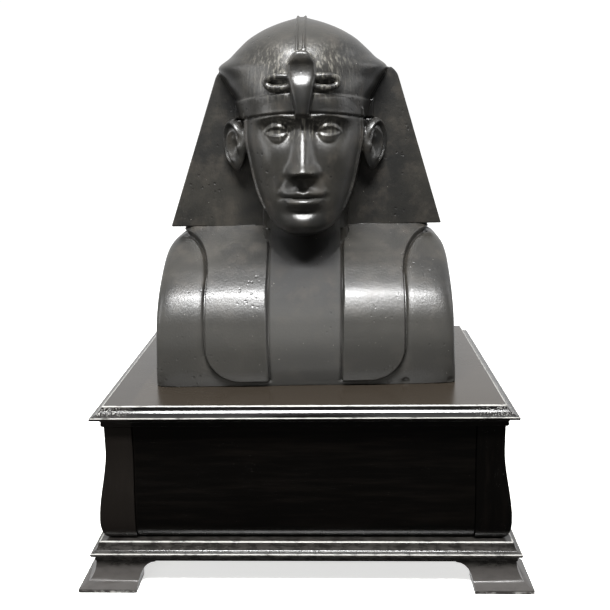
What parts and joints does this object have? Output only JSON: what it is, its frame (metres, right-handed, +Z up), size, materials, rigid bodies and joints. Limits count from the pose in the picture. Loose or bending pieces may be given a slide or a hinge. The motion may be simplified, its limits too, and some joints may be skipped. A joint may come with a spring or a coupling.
{
  "type": "pharaoh bust on a plinth",
  "caption": "Dark stone bust of an Egyptian ruler in a plain headcloth with a cobra, on an ebonised wooden plinth with bracket feet.",
  "frame": {"origin": "centre of the overall footprint, on the surface that the four feet stand on", "axes": "+Z up, the bust and the front of the plinth face -Y, +X to the viewer's right"},
  "size_m": [0.434, 0.3406, 0.5389],
  "materials": {
    "black_stone": "satin",
    "ebonised_wood": "gloss"
  },
  "bodies": {
    "root": {"bust": "black_stone", "top_board": "ebonised_wood", "front_panel": "ebonised_wood", "back_panel": "ebonised_wood", "left_panel": "ebonised_wood", "right_panel": "ebonised_wood", "corner_post_front_left": "ebonised_wood", "corner_post_front_right": "ebonised_wood", "corner_post_back_left": "ebonised_wood", "corner_post_back_right": "ebonised_wood", "base_board": "ebonised_wood", "foot_front_left": "ebonised_wood", "foot_front_right": "ebonised_wood", "foot_back_left": "ebonised_wood", "foot_back_right": "ebonised_wood"}
  },
  "joints": []
}
